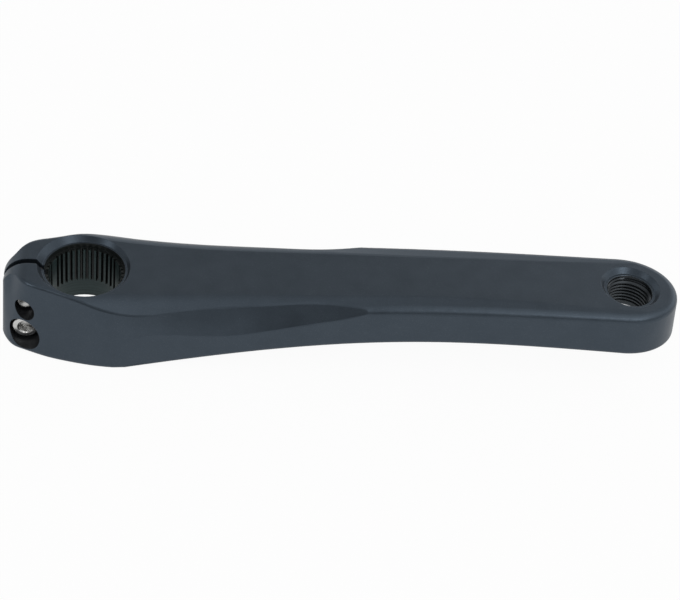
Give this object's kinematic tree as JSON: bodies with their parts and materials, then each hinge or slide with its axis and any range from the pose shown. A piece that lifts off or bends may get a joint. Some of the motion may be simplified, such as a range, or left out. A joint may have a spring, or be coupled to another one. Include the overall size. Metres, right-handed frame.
{
  "type": "bicycle crank arm",
  "caption": "Left-hand bicycle crank arm with a split splined clamp, opposed pinch screws, a swinging stopper plate and a threaded pedal hole.",
  "frame": {"origin": "on the spindle axis, at the inner face of the clamp boss", "axes": "+Z along the spindle axis outboard, +X from the spindle axis to the pedal axis, clamp slit in the plane Y = 0"},
  "size_m": [0.2112, 0.0418, 0.0253],
  "materials": {
    "arm": "dark grey satin coating",
    "screws": "bright plated",
    "washers": "plated",
    "stopper": "moulded"
  },
  "bodies": {
    "arm": {"crank_arm": "arm", "pinch_bolt_inboard": "screws", "pinch_bolt_outboard": "screws", "pinch_washer_inboard": "washers", "pinch_washer_outboard": "washers"},
    "stopper": {"stopper_plate": "stopper"}
  },
  "joints": [
    {"name": "stopper_swing", "type": "hinge", "parent": "arm", "child": "stopper", "pos_m": [-0.01731, 0, 0.006], "axis": [0, -1, 0], "range_deg": [0, 30]}
  ]
}
